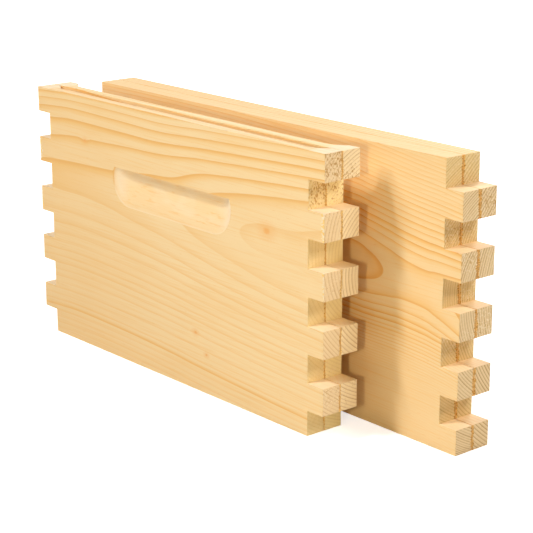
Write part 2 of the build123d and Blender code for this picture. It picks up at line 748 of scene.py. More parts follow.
@dataclass(frozen=True)
class PineFigure:
    """How one board was cut from its tree, in millimetres.

    A course is a row of pairs, each a place and the value there. Courses are read along the
    board from its left end, out from the pith, or up the board from its bottom edge.

    Attributes:
        pith_heights: Height of the pith, along the board.
        pith_depths: How far the pith lies behind the front face, along the board.
        ring_counts: Number of rings, out from the pith.
        ring_strengths: How strongly the rings show, out from the pith.
        torn_heights: How torn the sawn end grain is, up the board.
        height_strengths: Factor on the rings' strength, up the board.
        extra_rings: Rings added to the faces' count, up the board.
        golden_share: Share of the wash's deeper tone laid over the wood, along the board.
        lower_side: Factor on the rings' strength below the pith.
        lower_lines: Further factor on the hard lines below the pith.
        line_share: Share of a ring that its hard line takes.
        wander: How unevenly the rings run.
        seed: Sets this board's rings, fibres and tears apart from the others'.
        end_rings: Rings on the sawn ends for each one of the count.
        saw_exit: Depth behind the front face at which the saw left the ends.
        fray: Width of the dark band there, partly fibres torn by the saw and partly painted shade of
            the gap between the paired boards.
        splinter_widths: Width of the splinters beside the ends, up the board.
        bruise_heights: Width of the bruises along the arrises, up the board.
        knots: Small branches that come out through the front face.
        swellings: Places where the rings bow out.
    """

    pith_heights: tuple[Spot, ...]
    pith_depths: tuple[Spot, ...]
    ring_counts: tuple[Spot, ...]
    ring_strengths: tuple[Spot, ...]
    torn_heights: tuple[Spot, ...]
    height_strengths: tuple[Spot, ...] = ((0, 1.0), (244, 1.01))
    extra_rings: tuple[Spot, ...] = ((0, 0.0), (244, 0.01))
    golden_share: tuple[Spot, ...] = ((0, 0.0), (504, 0.01))
    lower_side: float = 1.0
    lower_lines: float = 1.0
    line_share: float = 0.17
    wander: float = 1.5
    seed: float = 0.0
    end_rings: float = 2.0
    saw_exit: float = 0.0
    fray: float = 0.5
    splinter_widths: tuple[Spot, ...] = ((0, 0.0), (244, 0.01))
    bruise_heights: tuple[Spot, ...] = ((0, 1.0), (244, 1.0))
    knots: tuple[PinKnot, ...] = ()
    swellings: tuple[Swelling, ...] = ()


@dataclass(frozen=True)
class BoardCut:
    """One board as its material needs it.

    Attributes:
        figure: How the board was cut from its tree.
        dish: Where its hand-hold was cut.
        left: Where its left end is along the stack, in millimetres.
        face: Where its front face is through the stack, in millimetres.
        length: How long the board is, in millimetres.
    """

    figure: PineFigure
    dish: Dish
    left: float
    face: float
    length: float


@dataclass(frozen=True)
class Shares:
    """How much of its colour each mark on the wood shows at most."""

    line: float = 0.75
    drift: float = 0.35
    drift_depth: float = 0.4
    streak: float = 0.34
    canal: float = 0.22
    halo: float = 0.34
    core: float = 0.8
    dish: float = 0.6
    # Painted light: the whole dish is painted a little paler.
    dish_painted_light: float = 0.04
    ripple: float = 0.1
    dish_streak: float = 0.42
    dish_patch: float = 0.3
    # Painted light and shade round the dish: paler ends, partly its own paler cross grain, a highlight
    # along the rim and a dark line on the left rim.
    run_out: float = 0.75
    rim: float = 0.4
    left_rim_shade: float = 0.4
    bruise: float = 0.3
    chip: float = 0.6
    chip_splinter: float = 0.8
    ray: float = 0.08
    fleck: float = 0.6
    tear: float = 0.8
    fray: float = 0.95
    fray_splinter: float = 0.7


@dataclass(frozen=True)
class Relief:
    """How high or deep the marks stand, in millimetres, and how strongly they shade."""

    fibre: float = 0.05
    line: float = 0.008
    ripple: float = 0.03
    fray: float = -0.3
    strength: float = 0.6


class PineBench(Bench):
    """A bench for one board's wood, with its place, rings, fibres and tool marks laid out.

    Attributes:
        facing_ease: From and to where a surface counts as an end or an edge.
        pith_ease: From and to where the rings change from below the pith to above it.
        dish_fading: How much weaker the rings are in the dish.
        fibre_fineness: Fibres per millimetre.
        fibre_seed_step: Sets the boards' fibres apart.
        fray_fineness: Fineness of the fibres frayed across the ends.
        chip_fineness: Fineness of the splinters beside the ends.
        end_line_share: Share of a ring that its hard line takes on the sawn ends.
    """

    facing_ease = (0.55, 0.9)
    pith_ease = (-0.25, 0.15)
    dish_fading = -0.84
    fibre_fineness = 0.6
    fibre_seed_step = 37.0
    fray_fineness = 0.7
    chip_fineness = 0.3
    end_line_share = 0.3

    def __init__(self, tree: Tree, cut: BoardCut, effects: dict[str, Tree]) -> None:
        """Lay out what the board's colours and relief are read from.

        Args:
            tree: Tree of the board's material.
            cut: The board.
            effects: The shared node groups by name.
        """
        super().__init__(tree)
        self.effects = effects
        self.figure = cut.figure
        spot = self.node("ShaderNodeTexCoord").outputs
        stack = self.vector("MULTIPLY", spot["Object"], (1 / MM, 1 / MM, 1 / MM))
        self.place = self.vector("SUBTRACT", stack, (cut.left, cut.face, 0.0))
        self.along, self.depth, self.height = self.split(self.place)
        across, _, upright = self.split(spot["Normal"])
        self.end = self.ease(self.math("ABSOLUTE", across), *self.facing_ease)
        self.edge = self.ease(self.math("ABSOLUTE", upright), *self.facing_ease)
        centred = self.math("ABSOLUTE", self.math("SUBTRACT", self.along, cut.length / 2))
        self.inward = self.math("SUBTRACT", cut.length / 2, centred)
        self.marks = self.placed("cutter_marks", Pitch=cut.dish.pitch, Reach=cut.dish.reach,
                                 Middle=(cut.dish.from_left, 0.0, cut.dish.height),
                                 Half_Travel=cut.dish.half_travel, Ledge=cut.dish.ledge)
        self.lay_rings()
        self.lay_tears()

    def placed(self, name: str, **values: Feed) -> dict[str, Socket]:
        """Place a shared effect at the board's own place.

        Args:
            name: The effect's name.
            values: Its other inputs, given as to wire().

        Returns:
            Its outputs by name.
        """
        made = self.effect(self.effects[name], **values)
        if "Place" in made.inputs:
            self.feed(made.inputs["Place"], self.place)
        return dict(made.outputs.items())

    def up_board(self, points: Sequence[Spot]) -> Socket:
        """Read a course up the board from its bottom edge."""
        return self.course(self.height, points)

    def lay_rings(self) -> None:
        """Lay the growth rings, from the pith out, and how strongly they show."""
        figure = self.figure
        swell = self.lay_branches()
        pith = self.placed("pith_radius", Wander=figure.wander, Swell=swell, Seed=figure.seed,
                           Pith_Depth=self.course(self.along, figure.pith_depths),
                           Pith_Height=self.course(self.along, figure.pith_heights))
        self.radius, self.side = pith["Radius"], pith["Side"]
        count = self.course(self.radius, figure.ring_counts)
        face_count = self.math("ADD", count, self.up_board(figure.extra_rings))
        rings = self.placed("growth_rings", Seed=figure.seed, Line_Share=figure.line_share,
                            Ring_Count=face_count)
        self.end_rings = self.placed("growth_rings", Seed=figure.seed,
                                     Line_Share=self.end_line_share,
                                     Ring_Count=self.times(count, figure.end_rings))
        strength = self.times(self.course(self.radius, figure.ring_strengths),
                              self.ease(self.side, *self.pith_ease, figure.lower_side, 1.0))
        strength = self.times(strength, self.up_board(figure.height_strengths))
        strength = self.times(strength, self.plus(self.marks["Inside"], self.dish_fading, 1.0))
        hard = self.times(strength, self.ease(self.side, *self.pith_ease, figure.lower_lines, 1.0))
        self.line = self.times(rings["Latewood"], hard, clamp=True)
        self.wash = self.times(rings["Wash"], strength, clamp=True)

    def lay_branches(self) -> Feed:
        """Lay the board's knots and the swellings in its grain.

        Returns:
            How far the rings move.
        """
        swell: Feed = 0.0
        self.core: Feed = 0.0
        self.halo: Feed = 0.0
        for knot in self.figure.knots:
            branch = self.placed("pin_knot", Size=knot.size, Bow=knot.bow,
                                 Centre=(knot.from_left, 0.0, knot.height))
            swell = self.math("ADD", swell, branch["Swell"])
            self.core = self.math("MAXIMUM", self.core, branch["Core"])
            self.halo = self.math("MAXIMUM", self.halo, branch["Halo"])
        for swelling in self.figure.swellings:
            bowed = self.placed("grain_swelling", Length=swelling.length, Width=swelling.width,
                                Amount=swelling.amount,
                                Middle=(swelling.from_left, 0.0, swelling.height))
            swell = self.math("ADD", swell, bowed["Swell"])
        return swell

    def lay_tears(self) -> None:
        """Lay the fibres, the torn end grain, the bruises and the saw's torn edges, whose dark band at
        the exit is partly painted shade.
        """
        figure = self.figure
        self.fibres = self.placed("fibres", Fineness=self.fibre_fineness,
                                  Seed=figure.seed * self.fibre_seed_step)
        self.torn = self.placed("torn_grain", Radius=self.radius, Side=self.side,
                                Amount=self.up_board(figure.torn_heights), Seed=figure.seed)
        self.worn = self.placed("worn_arris", Width=self.up_board(figure.bruise_heights))
        # The saw's exit edge is where the paired boards meet. Its dark band is partly torn fibres and
        # partly painted shade of the gap between them.
        from_exit = self.math("ABSOLUTE", self.math("SUBTRACT", self.depth, figure.saw_exit))
        self.frayed_and_gap_shade = self.placed("frayed_edge", Width=figure.fray, Fineness=self.fray_fineness,
                                  Away=from_exit)
        self.chipped = self.placed("frayed_edge", Away=self.inward, Fineness=self.chip_fineness,
                                   Width=self.up_board(figure.splinter_widths))


@dataclass(frozen=True)
class BarePine:
    """Bare planed pine, solid through the board.

    Attributes:
        name: Name of the material.
        earlywood: Soft inner part of a ring.
        wash: Deeper tone towards its outer edge.
        latewood: Its last, hard line.
        end_early: Soft part of a ring on the sawn ends.
        end_late: Hard part of a ring there.
        knot: Pin knots and their halos.
        tear: Torn specks and rays of the end grain.
        lifted: Pale lifted fibres, and the pale colour of the painted light on the edges, the fingers'
            shoulders and the dish.
        frayed_and_gap_shade: Dark fibres where the saw left the wood, partly painted shade of the gap
            between the paired boards.
        split: Pale splinters there.
        notch_floor: Colour painted on the notches' floors for the light and shade in their recess.
        edge_painted_light: Painted light: how much of the lifted colour the up- and down-facing edges
            show.
        shoulder_painted_light: Painted light: the same for the edges of the fingers.
        notch_painted_light_and_shade: Painted light and shade: how much of that colour the notches'
            floors show, which also softens their rings.
        roughness: Mean roughness of the planed faces.
        streak_roughness: How far the fibres' streaks spread it.
        end_roughness: Roughness added on the sawn ends.
        gloss: Specular level.
        shares: How much of its colour each mark shows.
        relief: How high the marks stand.
    """

    name: str
    earlywood: Colour
    wash: Colour
    latewood: Colour
    end_early: Colour
    end_late: Colour
    knot: Colour = paint(244, 176, 96)
    tear: Colour = paint(190, 136, 58)
    lifted: Colour = paint(255, 234, 201)
    frayed_and_gap_shade: Colour = paint(196, 140, 52)
    split: Colour = paint(250, 204, 104)
    notch_floor: Colour = paint(250, 226, 160)
    edge_painted_light: float = 0.2
    shoulder_painted_light: float = 0.62
    notch_painted_light_and_shade: float = 0.6
    roughness: float = 0.56
    streak_roughness: float = 0.12
    end_roughness: float = 0.16
    gloss: float = 0.32
    shares: Shares = Shares()
    relief: Relief = Relief()

    def material(self, cut: BoardCut, effects: dict[str, Tree]) -> bpy.types.Material:
        """Build the material for one board.

        Args:
            cut: The board.
            effects: The shared node groups by name.

        Returns:
            The material.
        """
        made = bpy.data.materials.new(self.name)
        b = PineBench(empty_tree(made), cut, effects)
        wood = self.blend_ends(b, self.planed_faces(b))
        rough = b.plus(b.fibres["Streak"], self.streak_roughness,
                       self.roughness - self.streak_roughness / 2)
        rough = b.plus(b.end, self.end_roughness, rough, clamp=True)
        shader = b.node("ShaderNodeBsdfPrincipled")
        b.wire(shader, Base_Color=wood, Roughness=rough, Specular_IOR_Level=self.gloss,
               Normal=self.surface(b))
        b.finish(shader)
        return made

    def planed_faces(self, b: PineBench) -> Socket:
        """Colour the planed faces and edges: rings, age, knots, dish, bruises, chips and painted light
        on the edges.

        Args:
            b: Bench of the material.

        Returns:
            The colour.
        """
        shares = self.shares
        finger_step = (18.6, 19.2)
        wood = b.blend(b.wash, self.earlywood, self.wash)
        wood = b.blend(b.course(b.along, b.figure.golden_share), wood, self.wash)
        wood = b.stain(wood, b.line, shares.line, self.latewood)
        wood = self.age(b, wood)
        wood = b.stain(wood, b.halo, shares.halo, self.knot)
        wood = b.stain(wood, b.core, shares.core, self.knot)
        wood = self.cut_dish(b, wood)
        wood = b.stain(wood, b.worn["Worn"], shares.bruise, self.latewood)
        wood = b.stain(wood, b.chipped["Frayed"], shares.chip, self.split)
        wood = b.stain(wood, b.chipped["Splinter"], shares.chip_splinter, self.lifted)
        # Painted light: edges that face up and down are painted paler, the fingers' shoulders most.
        painted_light_share = b.ease(b.inward, *finger_step, self.shoulder_painted_light, self.edge_painted_light)
        return b.stain(wood, b.edge, painted_light_share, self.lifted)

    def age(self, b: PineBench, wood: Socket) -> Socket:
        """Lay the board's slow drifts of tone, fine streaks and resin canals over its rings.

        Args:
            b: Bench of the material.
            wood: Colour of the rings.

        Returns:
            The colour with the drifts, streaks and canals.
        """
        drift = b.grain(b.place, (0.008, 0.02, 0.03))
        deeper = b.blend(self.shares.drift_depth, wood, self.wash)
        wood = b.blend(b.ease(drift, 0.35, 0.7, 0.0, self.shares.drift), wood, deeper)
        streak = b.ease(b.fibres["Streak"], 0.46, 0.68, 0.0, self.shares.streak)
        wood = b.blend(streak, wood, self.wash)
        return b.stain(wood, b.fibres["Pore"], self.shares.canal, self.latewood)

    def cut_dish(self, b: PineBench, wood: Socket) -> Socket:
        """Colour the dish: ripples, streaks and pale patches, with painted light and shade: a paler
        dish, paler run-outs, a rim highlight and a dark left rim.

        Args:
            b: Bench of the material.
            wood: Colour so far.

        Returns:
            The colour with the cutter's marks and the dish's painted light and shade.
        """
        shares = self.shares
        inside = b.marks["Inside"]
        wood = b.stain(wood, inside, shares.dish, self.earlywood)
        # Painted light: the whole dish a little paler.
        wood = b.stain(wood, inside, shares.dish_painted_light, self.lifted)
        wood = b.stain(wood, inside, b.times(b.marks["Ripple"], shares.ripple), self.wash)
        streaks = b.grain(b.place, (0.06, 0.3, 0.42), rough=0.6)
        streak = b.ease(streaks, 0.53, 0.68, 0.0, shares.dish_streak)
        wood = b.stain(wood, inside, streak, self.wash)
        patches = b.grain(b.place, (0.035, 0.1, 0.06), detail=1.0)
        patch = b.ease(patches, 0.42, 0.62, 0.0, shares.dish_patch)
        wood = b.stain(wood, inside, patch, self.lifted)
        # Painted light: the dish's two ends paler, partly the paler cross grain that the cutter opens
        # there.
        wood = b.stain(wood, b.marks["Run Out"], shares.run_out, self.lifted)
        # Painted highlight along the dish's rim.
        wood = b.stain(wood, b.marks["Rim"], shares.rim, self.lifted)
        # Painted shade: a dark line on the dish's left rim.
        return b.stain(wood, b.marks["Scorch"], shares.left_rim_shade, self.latewood)

    def blend_ends(self, b: PineBench, wood: Socket) -> Socket:
        """Colour the sawn ends: rings edge-on, notch floors with painted light and shade, rays, torn
        specks, pale flecks and a saw-exit band, partly painted shade.

        Args:
            b: Bench of the material.
            wood: Colour of the faces.

        Returns:
            The colour of the faces and the ends.
        """
        shares = self.shares
        hard_share = 0.35
        soft_share = 0.75
        notch_step = (12.0, 15.0)
        shade = b.plus(b.end_rings["Latewood"], hard_share,
                       b.times(b.end_rings["Wash"], soft_share), clamp=True)
        grain = b.blend(shade, self.end_early, self.end_late)
        # Painted light and shade: the notch floors, recessed behind the fingers, are blended towards a
        # colour of their own, paler on the end boards.
        notch = b.ease(b.inward, *notch_step, 0.0, self.notch_painted_light_and_shade)
        grain = b.blend(notch, grain, self.notch_floor)
        grain = b.stain(grain, b.torn["Ray"], shares.ray, self.tear)
        grain = b.stain(grain, b.torn["Fleck"], shares.fleck, self.lifted)
        grain = b.stain(grain, b.torn["Torn"], shares.tear, self.tear)
        # Partly painted shade: a dark band along the edge where the paired boards meet.
        grain = b.stain(grain, b.frayed_and_gap_shade["Frayed"], shares.fray, self.frayed_and_gap_shade)
        grain = b.stain(grain, b.frayed_and_gap_shade["Splinter"], shares.fray_splinter, self.split)
        return b.blend(b.end, wood, grain)

    def surface(self, b: PineBench) -> Socket:
        """Raise the fibres, the rings' hard lines and the tools' marks.

        Args:
            b: Bench of the material.

        Returns:
            The shading normal.
        """
        relief = self.relief
        face = b.plus(b.line, relief.line, b.times(b.fibres["Height"], relief.fibre))
        face = b.plus(b.times(b.marks["Ripple"], b.marks["Inside"]), relief.ripple, face)
        ends = b.plus(b.frayed_and_gap_shade["Frayed"], relief.fray, b.torn["Height"])
        level = b.fill(b.node("ShaderNodeMix", data_type="FLOAT"), b.end, None, face, ends)
        bump = b.node("ShaderNodeBump")
        b.wire(bump, Strength=relief.strength, Distance=MM, Height=level.outputs[0])
        return bump.outputs[0]


@dataclass(frozen=True)
class PaleFloor:
    """Plain pale studio floor that shows white and keeps the object's shadow.

    Attributes:
        colour: Colour of the floor.
        roughness: Its roughness.
        lift: Brightness added near the object for the camera.
        fade: From and to where the lift grows to full white, in metres from the object.
    """

    colour: Colour = (0.8, 0.8, 0.8)
    roughness: float = 0.9
    lift: float = 0.68
    fade: Spot = (0.45, 1.2)

    def material(self) -> bpy.types.Material:
        """Build the floor's material.

        Returns:
            The material. The lift is seen only by the camera and in reflections.
        """
        made = bpy.data.materials.new("pale_floor")
        b = Bench(empty_tree(made))
        matt = b.node("ShaderNodeBsdfPrincipled")
        b.wire(matt, Base_Color=self.colour, Roughness=self.roughness)
        away = b.length(b.node("ShaderNodeTexCoord").outputs["Object"])
        glow = b.node("ShaderNodeEmission")
        b.wire(glow, Strength=b.ease(away, *self.fade, self.lift, 1.0))
        dark = b.wire(b.node("ShaderNodeEmission"), Strength=0.0)
        lit = b.fill(b.node("ShaderNodeMixShader"), b.backdrop_mask(), dark.outputs[0],
                     glow.outputs[0])
        b.finish(b.fill(b.node("ShaderNodeAddShader"), matt.outputs[0], lit.outputs[0]))
        return made


# ---------------------------------------------------------------- joinery


class FirstStep(Enum):
    """What a board has at the top of its box joint. The value numbers its first notch's step."""

    FINGER = 1
    NOTCH = 0


@dataclass(frozen=True)
class BoxJoint:
    """Fingers and notches at a board's ends, counted down from its top edge, in millimetres.

    Attributes:
        top_finger: Height of the top finger.
        pitch: Height of every further step.
        least_bottom: Least height of the bottom one.
        clearance: Play between a finger and its notch.
    """

    top_finger: float = 24.1
    pitch: float = 24.74
    least_bottom: float = 12.0
    clearance: float = 0.3

    def lines(self, board_height: float) -> list[float]:
        """Heights at which fingers and notches meet.

        Args:
            board_height: Height of the board.

        Returns:
            The heights, from the top down.
        """
        room = board_height - self.top_finger - self.least_bottom
        count = 1 + int(room // self.pitch)
        return [board_height - self.top_finger - step * self.pitch for step in range(count)]

    def notches(self, board_height: float, first: FirstStep) -> Iterator[Spot]:
        """Low and high edge of each notch.

        Args:
            board_height: Height of the board.
            first: What the board has at the top.

        Yields:
            Pairs of heights inside the board.
        """
        lines = [board_height + self.pitch, *self.lines(board_height), -self.pitch]
        half = self.clearance / 2
        for high, low in zip(lines[first.value::2], lines[first.value + 1::2]):
            yield max(low - half, 0.0), min(high + half, board_height)


@dataclass(frozen=True)
class FrameRest:
    """Rabbet in the inner top edge that the frames' lugs hang in, in millimetres.

    Attributes:
        width: How far it reaches into the board.
        depth: How far it reaches down.
        cutter_radius: Radius of the cutter, which leaves its arc at both ends.
        end_margin: Wood left between the arc's end and the board's end.
    """

    width: float = 9.525
    depth: float = 15.875
    cutter_radius: float = 25.0
    end_margin: float = 12.5

    @property
    def run_out(self) -> float:
        """How far the cutter's arc runs along the board as it leaves the wood."""
        return math.sqrt(self.cutter_radius**2 - (self.cutter_radius - self.width) ** 2)

    def wall(self, x: np.ndarray, half_length: float, lip: float, thickness: float) -> np.ndarray:
        """Where the rabbet's wall stands, measured from the front face.

        Args:
            x: Places along the board from its middle.
            half_length: Half the board's length.
            lip: Thickness of the lip.
            thickness: Thickness of the board.

        Returns:
            The wall's distance behind the front face.
        """
        straight = half_length - self.end_margin - self.run_out
        past = np.clip(np.abs(x) - straight, 0.0, self.run_out)
        bow = self.cutter_radius - np.sqrt(self.cutter_radius**2 - past**2)
        return np.minimum(lip + bow, thickness)


class FrameSide(Enum):
    """Side of the frame of flat wood round a hand-hold's dish."""

    BOTTOM = "bottom"
    TOP = "top"
    END = "end"


@dataclass(frozen=True)
class HandHold:
    """Dish scooped along the outer face by a ball-nosed cutter, under a flat ledge.

    Sizes are in millimetres.

    Attributes:
        radius: Radius of the cutter.
        depth: Depth of the dish on the cutter's line.
        travel: How far the cutter travels along the board.
        off_centre: How far the dish lies from the board's middle.
        ledge_above_centre: Height of the ledge above the cutter's line.
        ledge_below_top: How far the ledge lies below the board's top edge.
        land: Width of the frame of flat wood round the dish.
        land_step: Width of its innermost strip.
        rim_ease: Depth at which the rim is rubbed round.
        wall_layers: Rows of faces from the ledge to the dish.
        floor_layers: Rows of faces from the rim to the cutter's line.
        floor_crowding: Below 1, the rows crowd towards the cutter's line.
    """

    radius: float = 39.0
    depth: float = 9.0
    travel: float = 122.0
    off_centre: float = 1.9
    ledge_above_centre: float = 10.0
    ledge_below_top: float = 58.9
    land: float = 4.0
    land_step: float = 0.6
    rim_ease: float = 0.12
    wall_layers: int = 4
    floor_layers: int = 9
    floor_crowding: float = 0.8

    @property
    def half_travel(self) -> float:
        """Half the cutter's travel."""
        return self.travel / 2

    @property
    def reach(self) -> float:
        """Radius of the dish's outline round the ends of the cutter's travel."""
        return math.sqrt(self.radius**2 - (self.radius - self.depth) ** 2)

    @property
    def frame_half(self) -> float:
        """Half the length of the frame round the dish."""
        return self.half_travel + self.reach + self.land

    def scoop(self, across: float) -> float:
        """Depth of the dish.

        Args:
            across: Distance from the cutter's line.

        Returns:
            Depth below the face.
        """
        inside = self.radius**2 - across**2
        return max(math.sqrt(max(inside, 0.0)) - (self.radius - self.depth), 0.0)

    def rim(self, along: float, rise: float, side: FrameSide) -> Spot:
        """Match a place on the frame round the dish to a place on its rim.

        Args:
            along: Place along the board from the dish's centre.
            rise: Place up the board from the cutter's line.
            side: Side of the frame that the place is on.

        Returns:
            Along and rise of the rim there.
        """
        half = self.half_travel
        down, diagonal = -math.pi / 2, -math.pi / 4
        top_angle = math.asin(self.ledge_above_centre / self.reach)
        sign = 1.0 if along >= 0 else -1.0
        past = max(abs(along) - half, 0.0) / (self.frame_half - half)
        if side is FrameSide.TOP:
            ledge_half = half + self.reach * math.cos(top_angle)
            out = half + past * (ledge_half - half)
            return (along if past == 0 else sign * out), self.ledge_above_centre
        if side is FrameSide.BOTTOM:
            if past == 0:
                return along, -self.reach
            angle = down + past * (diagonal - down)
        else:
            low = -self.reach - self.land
            share = (rise - low) / (self.ledge_above_centre + self.land - low)
            angle = diagonal + share * (top_angle - diagonal)
        return sign * (half + self.reach * math.cos(angle)), self.reach * math.sin(angle)


class Lattice:
    """Stations along, through and up a board, and which cells between them are wood.

    Attributes:
        tight: How close to a line its two neighbouring stations lie.
        least_gap: Gap between two lines, in tight steps, from which stations go between them.
        decimals: Lines that agree to this many decimals are one line.
    """

    tight = 0.5
    least_gap = 3.2
    decimals = 4

    def __init__(self, along: Sequence[float], through: Sequence[float], up: Sequence[float],
                 spacing: tuple[float, float, float]) -> None:
        """Set the stations out between the lines where something happens.

        Args:
            along: Lines along the board.
            through: Lines through its thickness.
            up: Lines up its height.
            spacing: Widest spacing in each direction.
        """
        every_line = (along, through, up)
        self.stations = [self.set_out(lines, step) for lines, step in zip(every_line, spacing)]
        middles = [(line[1:] + line[:-1]) / 2 for line in self.stations]
        self.middles = np.meshgrid(*middles, indexing="ij")
        self.wood = np.ones(self.middles[0].shape, bool)
        self.places = np.stack(np.meshgrid(*self.stations, indexing="ij"), axis=-1)

    def set_out(self, lines: Sequence[float], step: float) -> np.ndarray:
        """Space stations between lines, with one close to each line.

        Args:
            lines: Where edges and corners fall.
            step: Widest spacing.

        Returns:
            The stations in rising order.
        """
        lines = sorted({round(line, self.decimals) for line in lines})
        found = [lines[0]]
        for low, high in zip(lines, lines[1:]):
            if high - low > self.least_gap * self.tight:
                inner_low, inner_high = low + self.tight, high - self.tight
                count = max(1, math.ceil((inner_high - inner_low) / step))
                found.extend(np.linspace(inner_low, inner_high, count + 1))
            found.append(high)
        return np.array(found)

    def cut(self, low: Sequence[float], high: Sequence[float]) -> None:
        """Take a box of cells out of the wood.

        Args:
            low: Lowest corner.
            high: Highest corner.
        """
        inside = np.ones_like(self.wood)
        for middle, least, most in zip(self.middles, low, high):
            inside &= (middle > least) & (middle < most)
        self.wood &= ~inside

    def station(self, axis: int, value: float) -> int:
        """Find the station nearest to a place.

        Args:
            axis: 0 along, 1 through, 2 up.
            value: The place.

        Returns:
            The station's number.
        """
        return int(np.argmin(np.abs(self.stations[axis] - value)))

    def corners(self) -> tuple[np.ndarray, np.ndarray]:
        """Look at the eight cells round each station.

        Returns:
            How many are wood, and the direction towards them as whole steps.
        """
        padded = np.pad(self.wood, 1)
        shape = self.places.shape[:3]
        count = np.zeros(shape, int)
        lean = np.zeros((*shape, 3), int)
        for step in np.ndindex(2, 2, 2):
            cells = padded[tuple(slice(s, s + n) for s, n in zip(step, shape))]
            count += cells
            lean += cells[..., None] * (2 * np.array(step) - 1)
        return count, np.sign(lean)

    def numbers(self) -> np.ndarray:
        """Number the stations in their order."""
        shape = self.places.shape[:3]
        return np.arange(int(np.prod(shape))).reshape(shape)

    def skin(self) -> np.ndarray:
        """List the four-sided faces between wood and air.

        Returns:
            Station numbers of each face, anticlockwise from outside.
        """
        number = self.numbers()
        padded = np.pad(self.wood, 1)
        core = padded[1:-1, 1:-1, 1:-1]
        faces = []
        turns = {0: ((0, 0, 0), (0, 1, 0), (0, 1, 1), (0, 0, 1)),
                 1: ((0, 0, 0), (0, 0, 1), (1, 0, 1), (1, 0, 0)),
                 2: ((0, 0, 0), (1, 0, 0), (1, 1, 0), (0, 1, 0))}
        for axis, turn in turns.items():
            for way in (1, -1):
                beyond = np.roll(padded, -way, axis)[1:-1, 1:-1, 1:-1]
                cells = np.argwhere(core & ~beyond)
                start = cells.copy()
                if way == 1:
                    start[:, axis] += 1
                ring = [number[tuple((start + step).T)] for step in turn]
                faces.append(np.stack(ring if way == 1 else ring[::-1], axis=1))
        return np.concatenate(faces)


@dataclass(frozen=True)
class RubbedArris:
    """How a sharp corner is rubbed back by handling, unevenly and with small nicks.

    Attributes:
        easing: Mean distance that it is rubbed back, in millimetres.
        unevenness: How far that distance drifts, as a share of it.
        drift_scale: Drifts per millimetre.
        nick_depth: How deep the strength of a nick counts.
        nick_bar: Noise above which there is a nick.
        nick_scale: Nicks per millimetre.
        seed_steps: Shifts that set the boards' drifts and nicks apart.
    """

    easing: float = 0.15
    unevenness: float = 0.5
    drift_scale: float = 0.11
    nick_depth: float = 0.35
    nick_bar: float = 0.32
    nick_scale: float = 0.45
    seed_steps: Spot = (7.3, 3.1)

    def rub(self, place: np.ndarray, seed: int) -> float:
        """Give how far the corner is rubbed back at a place.

        Args:
            place: The place on the board.
            seed: The board's number.

        Returns:
            The distance.
        """
        drift_shift = Vector((seed * self.seed_steps[0], 0, 0))
        nick_shift = Vector((0, seed * self.seed_steps[1], 0))
        drift = noise.noise(Vector(place * self.drift_scale) + drift_shift)
        nick = noise.noise(Vector(place * self.nick_scale) + nick_shift)
        nicked = self.nick_depth * max(nick - self.nick_bar, 0.0)
        return self.easing * (1 + self.unevenness * drift) + nicked


